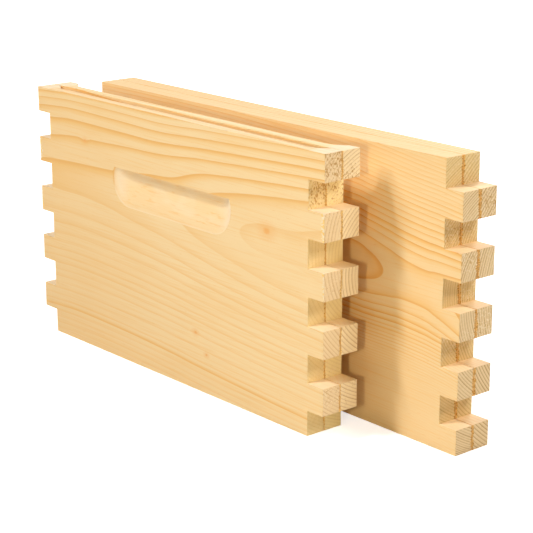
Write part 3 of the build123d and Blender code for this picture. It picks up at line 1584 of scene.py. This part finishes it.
@dataclass
class Board:
    """One board of the hive body, standing on its bottom edge.

    Attributes:
        name: Name of its CAD node and body.
        centre: Its middle along the stack, in millimetres.
        face: Its front face through the stack.
        figure: How it was cut from its tree.
        pine: Its finish.
        slot: Its material slot; not used.
        length: Its length.
        first_step: What it has at the top of its box joint.
        height: Its height.
        thickness: Its thickness.
        joint: The box joint at both its ends.
        hand_hold: The dish in its outer face.
        frame_rest: The rabbet in its inner top edge, if it has one.
        rubbed: How its arrises are rubbed back.
        spacing: Widest faces along, through and up.
        seed: Its number, which sets its nicks apart.
        weld: Distance in metres under which vertices join.
        crease: Angle in degrees from which an edge is sharp.
        flatness: How much large faces count in the shading normals, 1 to 100.
        farthest: Largest distance from an arris that is stored, in millimetres.
        dished_from: Depth from which the surface counts as the dish.
        arrises: Places on the arrises, filled in as they are rubbed.
    """

    name: str
    centre: float
    face: float
    figure: PineFigure
    pine: BarePine
    slot: str
    length: float
    first_step: FirstStep
    height: float = 244.475
    thickness: float = 19.05
    joint: BoxJoint = field(default_factory=BoxJoint)
    hand_hold: HandHold = field(default_factory=HandHold)
    frame_rest: FrameRest | None = None
    rubbed: RubbedArris = RubbedArris()
    spacing: tuple[float, float, float] = (3.4, 1.9, 2.4)
    seed: int = 1
    weld: float = 2e-6
    crease: float = 52.0
    flatness: int = 80
    farthest: float = 8.0
    dished_from: float = 0.3
    arrises: np.ndarray = field(init=False, repr=False)

    @property
    def half(self) -> float:
        """Half the board's length."""
        return self.length / 2

    @property
    def lip(self) -> float:
        """Thickness left beside the frame rest."""
        return self.thickness - self.frame_rest.width

    @property
    def rest_floor(self) -> float:
        """Height of the frame rest's floor."""
        return self.height - self.frame_rest.depth

    @property
    def dish_height(self) -> float:
        """Height of the line that the hand-hold's cutter travels on."""
        return self.height - self.hand_hold.ledge_below_top - self.hand_hold.ledge_above_centre

    @property
    def origin(self) -> np.ndarray:
        """Where the middle of the front face's bottom edge stands, in millimetres."""
        return np.array((self.centre, self.face, 0.0))

    @property
    def cut_place(self) -> BoardCut:
        """Describe the board as its material needs it.

        Returns:
            Its figure, its dish and its place.
        """
        hold = self.hand_hold
        dish = Dish(self.half + hold.off_centre, self.dish_height, hold.half_travel, hold.reach,
                    hold.ledge_above_centre)
        return BoardCut(self.figure, dish, self.centre - self.half, self.face, self.length)

    def lattice(self) -> Lattice:
        """Set out the board's lattice and cut its notches and frame rest.

        Returns:
            The lattice, with the frame rest's arcs and the eased arrises in its places.
        """
        past_wood = 1.0
        shoulder = self.half - self.thickness
        notches = list(self.joint.notches(self.height, self.first_step))
        hold = self.hand_hold
        along = [-self.half, -shoulder, shoulder, self.half]
        for half in (hold.half_travel, hold.frame_half):
            along += [hold.off_centre - half, hold.off_centre + half]
        through = [0.0, self.thickness]
        up = [0.0, self.height, *(edge for notch in notches for edge in notch)]
        up += [self.dish_height - hold.reach - hold.land,
               self.dish_height + hold.ledge_above_centre + hold.land]
        if self.frame_rest:
            exit_half = self.half - self.frame_rest.end_margin
            straight = exit_half - self.frame_rest.run_out
            along += [-exit_half, -straight, straight, exit_half]
            through.append(self.lip)
            up.append(self.rest_floor)
        made = Lattice(along, through, up, self.spacing)
        for low, high in notches:
            for side in (-1, 1):
                left, right = sorted((side * shoulder, side * (self.half + past_wood)))
                made.cut((left, -past_wood, low), (right, self.thickness + past_wood, high))
        if self.frame_rest:
            made.cut((-exit_half, self.lip, self.rest_floor),
                     (exit_half, self.thickness + past_wood, self.height + past_wood))
        moves = self.ease_arrises(made)
        if self.frame_rest:
            self.bend_rest_wall(made, moves, exit_half)
        made.places += moves
        return made

    def bend_rest_wall(self, made: Lattice, moves: np.ndarray, exit_half: float) -> None:
        """Carry the frame rest's wall out through the rear face on the cutter's arc.

        Args:
            made: The board's lattice.
            moves: The moves that ease its arrises, corrected at the wall's two exits.
            exit_half: How far from the middle the wall leaves the wood.
        """
        lip_station = made.station(1, self.lip)
        floor = made.station(2, self.rest_floor)
        first, last = made.station(0, -exit_half), made.station(0, exit_half)
        x = made.places[first:last + 1, :, floor:, 0]
        y = made.places[first:last + 1, :, floor:, 1]
        wall = self.frame_rest.wall(x, self.half, self.lip, self.thickness)
        front = y * wall / self.lip
        rear = wall + (y - self.lip) / (self.thickness - self.lip) * (self.thickness - wall)
        made.places[first:last + 1, :, floor:, 1] = np.where(y <= self.lip, front, rear)
        for plane in (first, last):
            moves[plane, lip_station:, floor:] = moves[plane, -1:, floor:]

    def ease_arrises(self, made: Lattice) -> np.ndarray:
        """Work out how far every arris is rubbed back, unevenly.

        Args:
            made: The board's lattice.

        Returns:
            A move for every station. The arrises' places are kept for their wear.
        """
        count, lean = made.corners()
        cells_on_a_face = 4
        convex = (count > 0) & (count < cells_on_a_face)
        moves = np.zeros_like(made.places)
        for spot in np.argwhere(convex):
            key = tuple(spot)
            moves[key] = lean[key] * self.rubbed.rub(made.places[key], self.seed)
        self.arrises = made.places[convex]
        return moves

    def dish(self, made: Lattice, faces: np.ndarray) -> tuple[list, list, np.ndarray]:
        """Replace the face inside the hand-hold's frame with the scooped dish.

        Args:
            made: The board's lattice.
            faces: All its faces.

        Returns:
            New places, new faces, and the old faces that stay.
        """
        hold = self.hand_hold
        middle, rise = hold.off_centre, self.dish_height
        west, east = (made.station(0, middle + way * hold.frame_half) for way in (-1, 1))
        low = made.station(2, rise - hold.reach - hold.land)
        high = made.station(2, rise + hold.ledge_above_centre + hold.land)
        number = made.numbers()
        inside = np.zeros(number.shape, bool)
        inside[west:east + 1, 0, low:high + 1] = True
        kept = faces[~inside.reshape(-1)[faces].all(axis=1)]

        loop = [(i, low, FrameSide.BOTTOM) for i in range(west, east)]
        loop += [(east, k, FrameSide.END) for k in range(low, high)]
        loop += [(i, high, FrameSide.TOP) for i in range(east, west, -1)]
        loop += [(west, k, FrameSide.END) for k in range(high, low, -1)]
        places: list[tuple[float, float, float]] = []
        rings: list[list[int]] = []
        start = number.size
        for i, k, side in loop:
            x, z = made.stations[0][i] - middle, made.stations[2][k] - rise
            ring = [int(number[i, 0, k])]
            for place in self.dish_slice(x, z, side):
                ring.append(start + len(places))
                places.append((place[0] + middle, place[1], place[2] + rise))
            rings.append(ring)
        quads = []
        for this, after in zip(rings, rings[1:] + rings[:1]):
            quads.extend(zip(this, after, after[1:], this[1:]))
        return places, quads, kept

    def dish_slice(self, x: float, z: float,
                   side: FrameSide) -> Iterator[tuple[float, float, float]]:
        """Step from the flat land over the rim and down the dish to the cutter's line.

        Args:
            x: Along the board from the dish's centre.
            z: Up the board from the cutter's line.
            side: Side of the frame that the slice starts on.

        Yields:
            Places from the land inwards.
        """
        hold = self.hand_hold
        rim_x, rim_z = hold.rim(x, z, side)
        spine_x = max(-hold.half_travel, min(hold.half_travel, rim_x))
        under_ledge = side is FrameSide.TOP
        outward = Vector((0.0, 1.0)) if under_ledge else Vector((rim_x - spine_x, rim_z))
        outward.normalize()
        yield rim_x + hold.land_step * outward.x, 0.0, rim_z + hold.land_step * outward.y
        yield rim_x, hold.rim_ease, rim_z
        wall = hold.scoop(math.hypot(rim_x - spine_x, rim_z))
        for layer in range(1, hold.wall_layers + 1):
            share = (layer / hold.wall_layers) if under_ledge else 0.0
            yield rim_x, max(hold.rim_ease, wall * share), rim_z
        for layer in range(1, hold.floor_layers + 1):
            share = (layer / hold.floor_layers) ** hold.floor_crowding
            floor_x, floor_z = rim_x + share * (spine_x - rim_x), rim_z * (1 - share)
            depth = hold.scoop(math.hypot(floor_x - spine_x, floor_z))
            yield floor_x, max(depth, hold.rim_ease), floor_z

    def build(self) -> bpy.types.Object:
        """Build the board's mesh and put it where the board stands.

        Returns:
            The board, undressed.
        """
        made = self.lattice()
        faces = made.skin()
        extra, quads, kept = self.dish(made, faces)
        places = np.concatenate([made.places.reshape(-1, 3), np.array(extra)])
        every = np.concatenate([kept, np.array(quads)])
        used, every = np.unique(every, return_inverse=True)
        places = places[used]
        every = every.reshape(-1, 4)
        world = (places + self.origin) * MM
        mesh = bpy.data.meshes.new(self.name + "_board")
        mesh.from_pydata(world.tolist(), [], every.tolist())
        shell = bmesh.new()
        shell.from_mesh(mesh)
        bmesh.ops.remove_doubles(shell, verts=shell.verts, dist=self.weld)
        bmesh.ops.dissolve_degenerate(shell, edges=shell.edges, dist=self.weld / 2)
        bmesh.ops.recalc_face_normals(shell, faces=shell.faces)
        shell.to_mesh(mesh)
        shell.free()
        self.measure_arrises(mesh)
        self.mark_dish(mesh)
        mesh.polygons.foreach_set("use_smooth", np.ones(len(mesh.polygons), bool))
        mesh.set_sharp_from_angle(angle=math.radians(self.crease))
        board = stand(self.name + "_board", mesh)
        weigh = board.modifiers.new("flat_faces", "WEIGHTED_NORMAL")
        weigh.keep_sharp = True
        weigh.weight = self.flatness
        return board

    def measure_arrises(self, mesh: bpy.types.Mesh) -> None:
        """Store every vertex's distance from the nearest arris, in millimetres.

        Args:
            mesh: The board's mesh in its place.
        """
        tree = kdtree.KDTree(len(self.arrises))
        for index, place in enumerate((self.arrises + self.origin) * MM):
            tree.insert(place, index)
        tree.balance()
        near = [min(tree.find(vertex.co)[2] / MM, self.farthest) for vertex in mesh.vertices]
        stored = mesh.attributes.new("from_arris", "FLOAT", "POINT")
        stored.data.foreach_set("value", np.array(near, np.float32))

    def mark_dish(self, mesh: bpy.types.Mesh) -> None:
        """Store which vertices lie inside the hand-hold.

        Args:
            mesh: The board's mesh in its place.
        """
        hold = self.hand_hold
        flat = np.zeros(len(mesh.vertices) * 3)
        mesh.vertices.foreach_get("co", flat)
        x, y, z = (flat.reshape(-1, 3) / MM - self.origin).T
        inside = (y > self.dished_from) & (y < hold.depth + self.dished_from)
        inside &= np.abs(x - hold.off_centre) < hold.frame_half
        inside &= np.abs(z - self.dish_height) < hold.reach + hold.land
        stored = mesh.attributes.new("dished", "FLOAT", "POINT")
        stored.data.foreach_set("value", inside.astype(np.float32))

    def dress(self, board: bpy.types.Object, effects: dict[str, Tree]) -> None:
        """Give the board its pine and tie it to its body.

        Args:
            board: The board.
            effects: The shared node groups by name.
        """
        board.data.materials.append(self.pine.material(self.cut_place, effects))
        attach(board, self.name)
        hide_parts(self.name)


# ---------------------------------------------------------------- the four boards

FRESH_PINE = BarePine(
    name="pale_pine",
    earlywood=paint(251, 220, 168),
    wash=paint(244, 192, 114),
    latewood=paint(237, 178, 98),
    end_early=paint(243, 214, 168),
    end_late=paint(221, 184, 134),
    notch_floor=paint(246, 220, 152),
)
# Painted light: the rear end board's pine is a paler copy of the front board's. It stands in for the
# light that the rear board misses behind the front one. Its darker ring lines on the ends are its own.
REAR_PINE_PAINTED_LIGHTER = BarePine(
    name="rear_pine_painted_lighter",
    earlywood=paint(253, 225, 170),
    wash=paint(250, 203, 128),
    latewood=paint(243, 184, 100),
    end_early=paint(252, 225, 178),
    end_late=paint(214, 176, 122),
    notch_floor=paint(255, 236, 172),
)
WARM_PINE = BarePine(
    name="warm_pine",
    earlywood=paint(251, 217, 163),
    wash=paint(246, 194, 116),
    latewood=paint(232, 163, 77),
    end_early=paint(236, 205, 156),
    end_late=paint(186, 142, 88),
    frayed_and_gap_shade=paint(188, 124, 22),
    split=paint(236, 172, 64),
    notch_floor=paint(231, 197, 120),
    edge_painted_light=0.03,
    shoulder_painted_light=0.36,
    notch_painted_light_and_shade=0.4,
)

FRONT_END_FIGURE = PineFigure(
    pith_heights=((0, 161), (25, 163), (100, 165.3), (200, 163.6), (250, 162.2), (300, 161),
                  (412.75, 159)),
    pith_depths=((0, 107.03), (25, 106.82), (100, 105.91), (150, 104.67), (200, 103.31),
                 (250, 100.52), (300, 98.01), (350, 95.49), (412.75, 92.78)),
    ring_counts=((44, -6), (95.6, 4), (103, 5), (107.9, 6), (113.1, 7), (117.8, 8), (122.6, 9),
                 (144.8, 14), (172.5, 20), (214, 29)),
    ring_strengths=((0, 0.2), (95.2, 0.25), (98, 0.6), (101, 0.9), (107.6, 1.1), (118, 1.28),
                    (133.7, 1.1), (163.6, 0.9), (168, 2.2), (171, 3.4), (175.4, 1.8), (179, 1.0),
                    (214, 0.9)),
    torn_heights=((0, 0.35), (24, 0.2), (36, 0.9), (48, 0.5), (70, 0.15), (98, 0.15), (122, 0.3),
                  (134, 0.8), (147, 0.5), (172, 0.35), (194, 0.8), (204, 1.7), (244, 1.9)),
    golden_share=((0, 0.32), (110, 0.2), (220, 0.05), (412.75, 0.0)),
    bruise_heights=((0, 1.0), (140, 1.0), (152, 2.6), (168, 2.2), (176, 1.6), (186, 3.2), (194, 2.6),
                    (204, 1.0), (244, 1.0)),
    splinter_widths=((0, 0.0), (121, 0.2), (126, 2.0), (146, 2.6), (150, 0.2), (171, 0.4), (174, 4.2),
                     (196, 4.0), (199, 0.2), (244, 0.3)),
    lower_side=0.42,
    lower_lines=0.3,
    wander=1.1,
    seed=3.0,
    end_rings=1.6,
    saw_exit=19.05,
    fray=1.3,
    knots=(PinKnot(341.7, 167.5, 3.7, 0.0), PinKnot(78, 203, 1.6, 0.5),
           PinKnot(243.6, 54.2, 1.7, 0.5), PinKnot(258.9, 36.7, 1.3, 0.4)),
    swellings=(Swelling(323, 160, 72, 31, -2.75), Swelling(10, 230, 200, 34, -3.25),
               Swelling(150, 184, 160, 17, 1.35), Swelling(225, 193, 60, 17, 1.0)),
)
REAR_END_FIGURE = PineFigure(
    pith_heights=((0, 160), (200, 154), (380, 151), (412.75, 138)),
    pith_depths=((0, 64), (200, 66), (412.75, 60)),
    ring_counts=((0, 0), (60, 14), (108, 27), (200, 56)),
    # Painted shade: the strong ring near 107 mm from the pith runs along the top of the front face,
    # where it stands for the shade inside the front board's frame rest.
    ring_strengths=((0, 0.8), (102, 0.8), (107, 1.6), (112, 0.9), (200, 0.8)),
    torn_heights=((0, 0.2), (24, 0.2), (48, 0.9), (60, 0.2), (110, 0.2), (172, 0.3), (194, 0.8),
                  (204, 1.4), (220, 1.2), (244, 0.5)),
    end_rings=1.15,
    seed=17.0,
    fray=0.8,
)
FRONT_SIDE_FIGURE = PineFigure(
    pith_heights=((0, 150), (200, 148), (380, 141.6), (400, 139.7), (425, 137.6), (450, 134.8),
                  (475, 131.7), (504.825, 126)),
    pith_depths=((0, 72.1), (150, 68.1), (300, 68.7), (380, 69.13), (400, 69.93), (425, 71.35),
                 (450, 72.32), (462, 72.39), (475, 71.97), (504.825, 70.27)),
    ring_counts=((21, -4), (71.01, 11), (74.3, 12), (85.9, 16), (98.4, 20), (112.8, 25.2),
                 (127.7, 30.4), (158.8, 45), (206.6, 66)),
    ring_strengths=((0, 0.3), (69.6, 0.4), (70.7, 1.4), (76.4, 1.35), (88.8, 1.2), (97.1, 1.0),
                    (105.7, 0.72), (130.8, 0.55), (206.6, 0.5)),
    height_strengths=((0, 0.3), (45, 0.35), (66, 0.58), (84, 0.85), (98, 1.0), (150, 1.0), (200, 1.0),
                      (244, 0.8)),
    extra_rings=((0, 11), (20, 10.4), (40, 8.4), (60, 4.9), (77, 2.25), (90, 0.6), (98, 0.06), (104, 0),
                 (125, 0), (170, 0), (244, 0)),
    torn_heights=((0, 0.15), (24, 0.2), (72, 0.3), (96, 0.9), (110, 0.25), (147, 0.3), (172, 1.3),
                  (190, 1.1), (200, 0.4), (244, 0.35)),
    line_share=0.14,
    wander=0.62,
    seed=29.0,
    end_rings=1.25,
    saw_exit=19.05,
    fray=2.1,
)
REAR_SIDE_FIGURE = PineFigure(
    pith_heights=((0, 135), (250, 128), (504.825, 126)),
    pith_depths=((0, 100), (250, 110), (504.825, 105)),
    ring_counts=((60, 14), (96, 25), (130, 36), (200, 58)),
    ring_strengths=((0, 0.8), (200, 0.8)),
    torn_heights=((0, 0.2), (72, 0.2), (84, 0.6), (98, 1.2), (122, 1.1), (147, 0.5), (172, 0.6),
                  (184, 0.9), (198, 1.5), (220, 1.2), (230, 0.5), (244, 0.5)),
    end_rings=1.1,
    seed=43.0,
    fray=1.8,
)


@dataclass
class HiveBody:
    """The four loose boards, standing in two pairs, in millimetres.

    Attributes:
        end_length: Length of an end board.
        side_length: Length of a side board.
        thickness: Thickness of every board.
        end_gap: Gap between the two end boards.
        side_gap: Gap between the two side boards.
        pair_gap: Gap between the two pairs.
    """

    end_length: float = 412.75
    side_length: float = 504.825
    thickness: float = 19.05
    end_gap: float = 0.5
    side_gap: float = 0.6
    pair_gap: float = 23.36

    def boards(self) -> Iterator[Board]:
        """Give each board its place in the stack, from the front to the rear.

        Yields:
            The boards.
        """
        depth = 4 * self.thickness + self.end_gap + self.pair_gap + self.side_gap
        end_centre = (self.end_length - self.side_length) / 2
        front_end = -depth / 2
        rear_end = front_end + self.thickness + self.end_gap
        front_side = rear_end + self.thickness + self.pair_gap
        rear_side = front_side + self.thickness + self.side_gap
        end_boards = (
            ("front_end_board", front_end, FRONT_END_FIGURE, FRESH_PINE, 1),
            ("rear_end_board", rear_end, REAR_END_FIGURE, REAR_PINE_PAINTED_LIGHTER, 2),
        )
        for name, face, figure, pine, seed in end_boards:
            yield Board(name, end_centre, face, figure, pine, "pale_pine", self.end_length,
                        FirstStep.FINGER, frame_rest=FrameRest(), seed=seed)
        side_boards = (
            ("front_side_board", front_side, FRONT_SIDE_FIGURE, 3),
            ("rear_side_board", rear_side, REAR_SIDE_FIGURE, 4),
        )
        for name, face, figure, seed in side_boards:
            yield Board(name, 0.0, face, figure, WARM_PINE, "warm_pine", self.side_length,
                        FirstStep.NOTCH, seed=seed)


# ---------------------------------------------------------------- studio


@dataclass(frozen=True)
class SoftBox:
    """One soft studio lamp, aimed at the middle of the boards.

    Attributes:
        name: Name of the lamp.
        towards: Direction in which it shines.
        distance: How far it hangs from the boards, in metres.
        size: Side of its square face, in metres.
        power: Its power in watts.
        colour: Its linear colour.
    """

    name: str
    towards: tuple[float, float, float]
    distance: float
    size: float
    power: float
    colour: Colour = (1.0, 1.0, 1.0)

    def place(self, target: Vector) -> bpy.types.Object:
        """Hang the lamp.

        Args:
            target: Point that it lights.

        Returns:
            The lamp.
        """
        lamp = bpy.data.lights.new(self.name, "AREA")
        lamp.shape = "SQUARE"
        lamp.size = self.size
        lamp.energy = self.power
        lamp.color = self.colour
        hung = stand(self.name, lamp)
        way = Vector(self.towards).normalized()
        hung.location = target - way * self.distance
        hung.rotation_euler = way.to_track_quat("-Z", "Y").to_euler()
        return hung


@dataclass
class Studio:
    """Pale floor, soft lamps, white surroundings and the camera.

    Attributes:
        eye: Where the camera stands, in metres.
        yaw: Its turn from straight ahead, in radians.
        pitch: Its tilt downwards, in radians.
        roll: Its roll, in radians.
        lens: Its focal length in millimetres.
        sensor: Width of its sensor in millimetres.
        far_clip: How far it sees, in metres.
        lit_point: Point that the lamps are aimed at.
        floor_half: Half the side of the floor, in metres.
        floor: Finish of the floor.
        lamps: The soft lamps.
    """

    eye: tuple[float, float, float] = (1.11440, -0.92452, 0.52268)
    yaw: float = -0.8648
    pitch: float = 0.2790
    roll: float = -0.0013
    lens: float = 112.98
    sensor: float = 36.0
    far_clip: float = 50.0
    lit_point: tuple[float, float, float] = (0.05, 0.0, 0.12)
    floor_half: float = 6.0
    floor: PaleFloor = field(default_factory=PaleFloor)
    lamps: tuple[SoftBox, ...] = (
        SoftBox("low_right_lamp", (-0.73, 1.0, -0.26), 1.3, 0.1, 3.9, (1.0, 0.91, 0.62)),
        SoftBox("high_left_lamp", (0.45, 1.0, -0.92), 2.2, 0.36, 11.5, (0.96, 0.97, 1.0)),
        SoftBox("high_front_lamp", (0.35, 1.0, -1.4), 2.2, 0.2, 18.5, (0.96, 0.97, 1.0)),
        SoftBox("end_lamp", (-1.0, -0.35, -0.82), 1.6, 0.4, 11.5),
        SoftBox("back_lamp", (0.2, -0.55, -1.0), 2.4, 0.9, 13.0),
        SoftBox("back_left_lamp", (0.45, -1.0, -0.42), 2.4, 1.0, 13.0),
    )

    def lay_floor(self) -> bpy.types.Object:
        """Lay the floor under the boards.

        Returns:
            The floor.
        """
        mesh = bpy.data.meshes.new("studio_floor")
        half = self.floor_half
        corners = [(-half, -half, 0), (half, -half, 0), (half, half, 0), (-half, half, 0)]
        mesh.from_pydata(corners, [], [(0, 1, 2, 3)])
        mesh.materials.append(self.floor.material())
        laid = stand("studio_floor", mesh)
        laid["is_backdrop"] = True
        return laid

    def surround(self) -> None:
        """Show white behind the floor. The lamps alone light the boards."""
        room = bpy.data.worlds.new("studio_room")
        b = Bench(empty_tree(room))
        glow = b.node("ShaderNodeBackground")
        b.finish(b.wire(glow, Color=(1.0, 1.0, 1.0), Strength=b.backdrop_mask()),
                 "ShaderNodeOutputWorld")
        bpy.context.scene.world = room

    def set_camera(self) -> bpy.types.Object:
        """Stand the camera at its place.

        Returns:
            The camera.
        """
        forward = Vector((math.sin(self.yaw) * math.cos(self.pitch),
                          math.cos(self.yaw) * math.cos(self.pitch), -math.sin(self.pitch)))
        level = Vector((math.cos(self.yaw), -math.sin(self.yaw), 0.0))
        upright = level.cross(forward)
        right = math.cos(self.roll) * level + math.sin(self.roll) * upright
        up = math.cos(self.roll) * upright - math.sin(self.roll) * level
        lens = bpy.data.cameras.new("camera")
        lens.lens = self.lens
        lens.sensor_width = self.sensor
        lens.clip_end = self.far_clip
        camera = stand("camera", lens)
        turn = Matrix((right, up, -forward)).transposed().to_4x4()
        camera.matrix_world = Matrix.Translation(self.eye) @ turn
        bpy.context.scene.camera = camera
        return camera

    def build(self) -> None:
        """Set the whole studio up."""
        self.lay_floor()
        self.surround()
        for lamp in self.lamps:
            lamp.place(Vector(self.lit_point))
            log.info("lamp %s at %.1f W", lamp.name, lamp.power)
        self.set_camera()
        bpy.context.scene.view_settings.view_transform = "Standard"


def write_sizes() -> None:
    """Gather the boxes of the CAD model and of the visual model as plain lists, which go unused."""
    boxes = {"cad": cad_box, "visual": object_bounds()}
    plain = {name: [list(map(float, corner)) for corner in box] for name, box in boxes.items()}


def main() -> None:
    """Build the boards, dress them and set up the studio."""
    logging.basicConfig(level=logging.INFO, format="%(message)s", stream=sys.stdout)
    effects = shared_effects()
    for board in HiveBody().boards():
        piece = board.build()
        board.dress(piece, effects)
        log.info("%s: %d faces", piece.name, len(piece.data.polygons))
    Studio().build()
    write_sizes()


if __name__ == "__main__":
    main()
